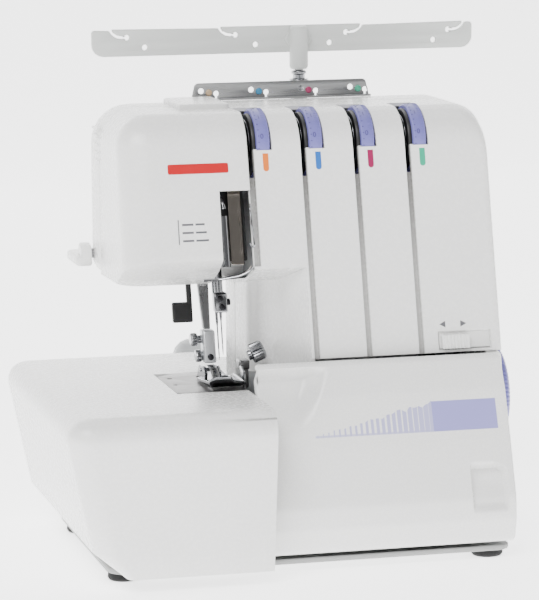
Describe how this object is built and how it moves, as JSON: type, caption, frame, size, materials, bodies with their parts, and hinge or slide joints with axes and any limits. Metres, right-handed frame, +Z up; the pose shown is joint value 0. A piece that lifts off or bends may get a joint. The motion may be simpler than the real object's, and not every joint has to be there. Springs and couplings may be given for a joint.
{
  "type": "serger overlock machine",
  "caption": "Home overlock machine with slanted thread channels, tension dials, telescopic thread guide, removable cloth-plate box and hinged looper cover.",
  "frame": {"origin": "middle of the machine's footprint, on the table", "axes": "+X to the handwheel side, +Y away from the operator, +Z up"},
  "size_m": [0.2831, 0.252, 0.2885],
  "materials": {
    "white": "glossy white moulded plastic",
    "gray": "light gray moulded plastic",
    "black": "black plastic",
    "rubber": "black rubber",
    "lavender": "lavender plastic with fine ribs",
    "chrome": "bright chrome plate",
    "steel": "brushed steel",
    "cast": "die-cast aluminium",
    "copper_brown": "dark enamelled motor case"
  },
  "bodies": {
    "machine": {"base_plate": "gray", "rubber_foot_1": "rubber", "rubber_foot_2": "rubber", "rubber_foot_3": "rubber", "rubber_foot_4": "rubber", "main_frame": "cast", "front_housing": "white", "rear_housing": "white", "side_cover": "white", "face_cover": "white", "pressure_cap": "white", "needle_plate": "steel", "lower_knife": "steel", "motor": "copper_brown", "drive_belt": "rubber", "power_inlet": "black", "thread_guide_plate": "steel", "mast_lower_tube": "chrome", "spool_stand": "white", "cone_holder_1": "gray", "cone_holder_2": "gray", "cone_holder_3": "gray", "cone_holder_4": "gray", "needle_bar_guard": "chrome", "wire_thread_guide": "steel"},
    "box": {"cloth_plate_cover": "white"},
    "cover_carrier": {"cover_hinge_rod": "steel"},
    "looper_door": {"looper_cover": "white"},
    "drive_line": {"handwheel": "lavender", "main_shaft": "steel", "drive_pulley": "cast"},
    "motor_rotor": {"motor_pulley": "cast"},
    "needle_group": {"needle_bar": "chrome", "needle_clamp": "chrome", "clamp_screw_upper": "black", "clamp_screw_lower": "black", "needle_left": "chrome", "needle_right": "chrome"},
    "knife_arm": {"upper_knife": "steel", "knife_knob": "chrome"},
    "upper_looper_arm": {"upper_looper": "chrome"},
    "lower_looper_arm": {"lower_looper": "chrome"},
    "feed_carrier": {"feed_dog": "steel"},
    "presser_group": {"presser_bar": "steel", "foot_holder": "chrome", "foot_thumb_screw": "chrome", "presser_foot": "chrome"},
    "lifter": {"presser_lifter": "white"},
    "threader": {"needle_threader": "black"},
    "dial_1": {"tension_dial_1": "lavender"},
    "dial_2": {"tension_dial_2": "lavender"},
    "dial_3": {"tension_dial_3": "lavender"},
    "dial_4": {"tension_dial_4": "lavender"},
    "selector": {"stitch_selector": "white"},
    "length_dial": {"stitch_length_dial": "lavender"},
    "feed_ratio_dial": {"differential_dial": "lavender"},
    "rocker": {"power_switch": "black"},
    "mast_middle": {"mast_middle_tube": "chrome"},
    "mast_top": {"thread_guide_bar": "gray"}
  },
  "joints": [
    {"name": "box_slide", "type": "slide", "parent": "machine", "child": "box", "axis": [-1, 0, 0], "range_m": [0, 0.12]},
    {"name": "door_slide", "type": "slide", "parent": "machine", "child": "cover_carrier", "axis": [1, 0, 0], "range_m": [0, 0.006]},
    {"name": "door_hinge", "type": "hinge", "parent": "cover_carrier", "child": "looper_door", "pos_m": [0.0455, -0.0965, 0.016], "axis": [1, 0, 0], "range_deg": [0, 80]},
    {"name": "handwheel_turn", "type": "hinge", "parent": "machine", "child": "drive_line", "pos_m": [0.1235, -0.022, 0.08], "axis": [1, 0, 0], "continuous": true},
    {"name": "motor_turn", "type": "hinge", "parent": "machine", "child": "motor_rotor", "pos_m": [0.0875, 0.012, 0.042], "axis": [1, 0, 0], "continuous": true},
    {"name": "needle_stroke", "type": "slide", "parent": "machine", "child": "needle_group", "axis": [0, -0.2425, -0.9701], "range_m": [0, 0.025]},
    {"name": "knife_stroke", "type": "slide", "parent": "machine", "child": "knife_arm", "axis": [0, 0, -1], "range_m": [0, 0.0065]},
    {"name": "upper_looper_stroke", "type": "slide", "parent": "machine", "child": "upper_looper_arm", "axis": [0, 0, 1], "range_m": [0, 0.0085]},
    {"name": "lower_looper_stroke", "type": "slide", "parent": "machine", "child": "lower_looper_arm", "axis": [-1, 0, 0], "range_m": [0, 0.0085]},
    {"name": "feed_stroke", "type": "slide", "parent": "machine", "child": "feed_carrier", "axis": [0, 1, 0], "range_m": [0, 0.0033]},
    {"name": "lifter_turn", "type": "hinge", "parent": "machine", "child": "lifter", "pos_m": [-0.0965, 0.046, 0.161], "axis": [1, 0, 0], "range_deg": [0, 25]},
    {"name": "presser_lift", "type": "slide", "parent": "machine", "child": "presser_group", "axis": [0, 0.2425, 0.9701], "range_m": [0, 0.0055]},
    {"name": "threader_slide", "type": "slide", "parent": "machine", "child": "threader", "axis": [0, -0.2425, -0.9701], "range_m": [0, 0.018]},
    {"name": "dial_1_turn", "type": "hinge", "parent": "machine", "child": "dial_1", "pos_m": [-0.0136, -0.015, 0.2274], "axis": [1, 0, 0], "range_deg": [-150, 150]},
    {"name": "dial_2_turn", "type": "hinge", "parent": "machine", "child": "dial_2", "pos_m": [0.0168, -0.015, 0.2274], "axis": [1, 0, 0], "range_deg": [-150, 150]},
    {"name": "dial_3_turn", "type": "hinge", "parent": "machine", "child": "dial_3", "pos_m": [0.0472, -0.015, 0.2274], "axis": [1, 0, 0], "range_deg": [-150, 150]},
    {"name": "dial_4_turn", "type": "hinge", "parent": "machine", "child": "dial_4", "pos_m": [0.0776, -0.015, 0.2274], "axis": [1, 0, 0], "range_deg": [-150, 150]},
    {"name": "selector_slide", "type": "slide", "parent": "machine", "child": "selector", "axis": [1, 0, 0], "range_m": [0, 0.012]},
    {"name": "length_dial_turn", "type": "hinge", "parent": "machine", "child": "length_dial", "pos_m": [0.1175, -0.048, 0.034], "axis": [1, 0, 0], "range_deg": [-135, 135]},
    {"name": "feed_ratio_turn", "type": "hinge", "parent": "machine", "child": "feed_ratio_dial", "pos_m": [0.1175, -0.024, 0.034], "axis": [1, 0, 0], "range_deg": [-135, 135]},
    {"name": "switch_rock", "type": "hinge", "parent": "machine", "child": "rocker", "pos_m": [0.117, 0, 0.033], "axis": [0, 1, 0], "range_deg": [-7, 7]},
    {"name": "mast_middle_slide", "type": "slide", "parent": "machine", "child": "mast_middle", "axis": [0, 0, 1], "range_m": [0, 0.095]},
    {"name": "mast_top_slide", "type": "slide", "parent": "mast_middle", "child": "mast_top", "axis": [0, 0, 1], "range_m": [0, 0.09]}
  ],
  "couplings": [
    {"joint": "motor_turn", "follows": "handwheel_turn", "ratio": 2.75},
    {"joint": "knife_stroke", "follows": "needle_stroke", "ratio": 0.24},
    {"joint": "upper_looper_stroke", "follows": "needle_stroke", "ratio": 0.32},
    {"joint": "lower_looper_stroke", "follows": "needle_stroke", "ratio": 0.32},
    {"joint": "feed_stroke", "follows": "needle_stroke", "ratio": 0.12},
    {"joint": "presser_lift", "follows": "lifter_turn", "m_per_rad": 0.0115}
  ]
}
